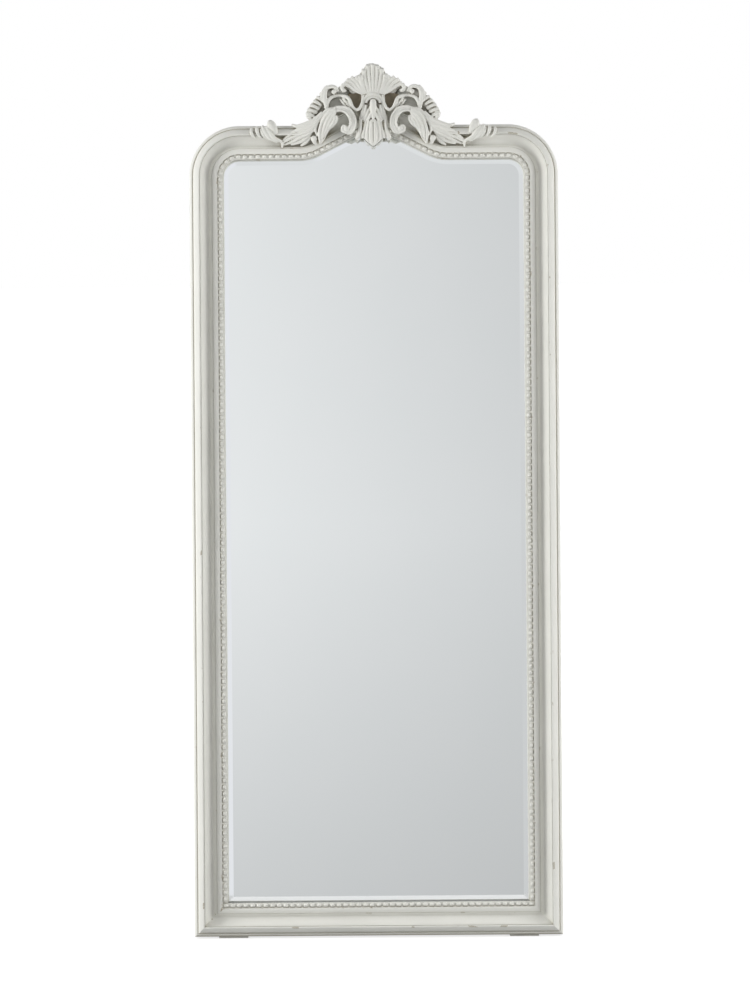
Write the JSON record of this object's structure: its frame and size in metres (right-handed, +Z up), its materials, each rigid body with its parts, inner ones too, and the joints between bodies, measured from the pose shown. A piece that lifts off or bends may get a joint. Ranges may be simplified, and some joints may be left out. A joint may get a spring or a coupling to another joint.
{
  "type": "floor mirror",
  "caption": "Free-standing full-length mirror in a cream moulded frame with pearl edging, carved shell crest and bevelled glass, on a folding easel leg with a sliding stay.",
  "frame": {"origin": "on the floor, in the middle of the footprint from the front of the frame to the rear of the open leg", "axes": "+X to the viewer's right, +Y away from the viewer towards the leg, +Z up; the mirror leans back by 8 degrees"},
  "size_m": [0.76, 0.4046, 1.7884],
  "materials": {
    "cream_paint": "satin off-white paint with a thin antique glaze in the hollows",
    "cream_carved": "satin off-white paint over carving, brown-grey glaze in the recesses",
    "cream_plain": "plain satin off-white paint",
    "silvered_glass": "clear silvered glass with a polished bevel",
    "grey_card": "grey packing card",
    "black_rubber": "matt black rubber",
    "white_rubber": "matt off-white rubber",
    "brown_board": "smooth brown hardboard",
    "beech": "bare beech",
    "zinc_steel": "zinc-plated steel"
  },
  "bodies": {
    "mirror": {"bottom_rail": "cream_paint", "left_stile": "cream_paint", "right_stile": "cream_paint", "head_rail": "cream_paint", "joint_dowels": "beech", "bottom_bead_strip": "cream_paint", "left_bead_strip": "cream_paint", "right_bead_strip": "cream_paint", "head_bead_strip": "cream_paint", "crest_shell": "cream_carved", "crest_left_scroll": "cream_carved", "crest_right_scroll": "cream_carved", "crest_screws": "zinc_steel", "mirror_glass": "silvered_glass", "packing_sheet": "grey_card", "setting_blocks": "black_rubber", "backing_board": "brown_board", "backing_screws": "zinc_steel", "hinge_batten": "cream_plain", "batten_screws": "zinc_steel", "hinge_fixed_screws": "zinc_steel", "left_hinge_fixed_leaf": "zinc_steel", "right_hinge_fixed_leaf": "zinc_steel", "left_hinge_pin": "zinc_steel", "right_hinge_pin": "zinc_steel", "left_foot_pad": "white_rubber", "right_foot_pad": "white_rubber", "stay_track": "zinc_steel", "stay_track_screws": "zinc_steel", "track_block": "cream_plain"},
    "leg": {"left_leg_upright": "cream_plain", "right_leg_upright": "cream_plain", "leg_top_rail": "cream_plain", "leg_middle_rail": "cream_plain", "leg_foot_rail": "cream_plain", "leg_dowels": "beech", "left_leg_foot": "black_rubber", "right_leg_foot": "black_rubber", "left_hinge_moving_leaf": "zinc_steel", "right_hinge_moving_leaf": "zinc_steel", "hinge_moving_screws": "zinc_steel", "stay_bracket": "zinc_steel", "stay_bracket_screws": "zinc_steel", "stay_pivot_pin": "zinc_steel"},
    "stay": {"stay_arm": "zinc_steel", "stay_slide_pin": "zinc_steel"}
  },
  "joints": [
    {"name": "leg_fold", "type": "hinge", "parent": "mirror", "child": "leg", "pos_m": [0, 0.03445, 1.22535], "axis": [-1, 0, 0], "range_deg": [0, 16]},
    {"name": "stay_swing", "type": "hinge", "parent": "leg", "child": "stay", "pos_m": [0, 0.0929, 0.80944], "axis": [-1, 0, 0], "range_deg": [-32, 0]}
  ],
  "couplings": [
    {"joint": "stay_swing", "follows": "leg_fold", "ratio": -2}
  ]
}
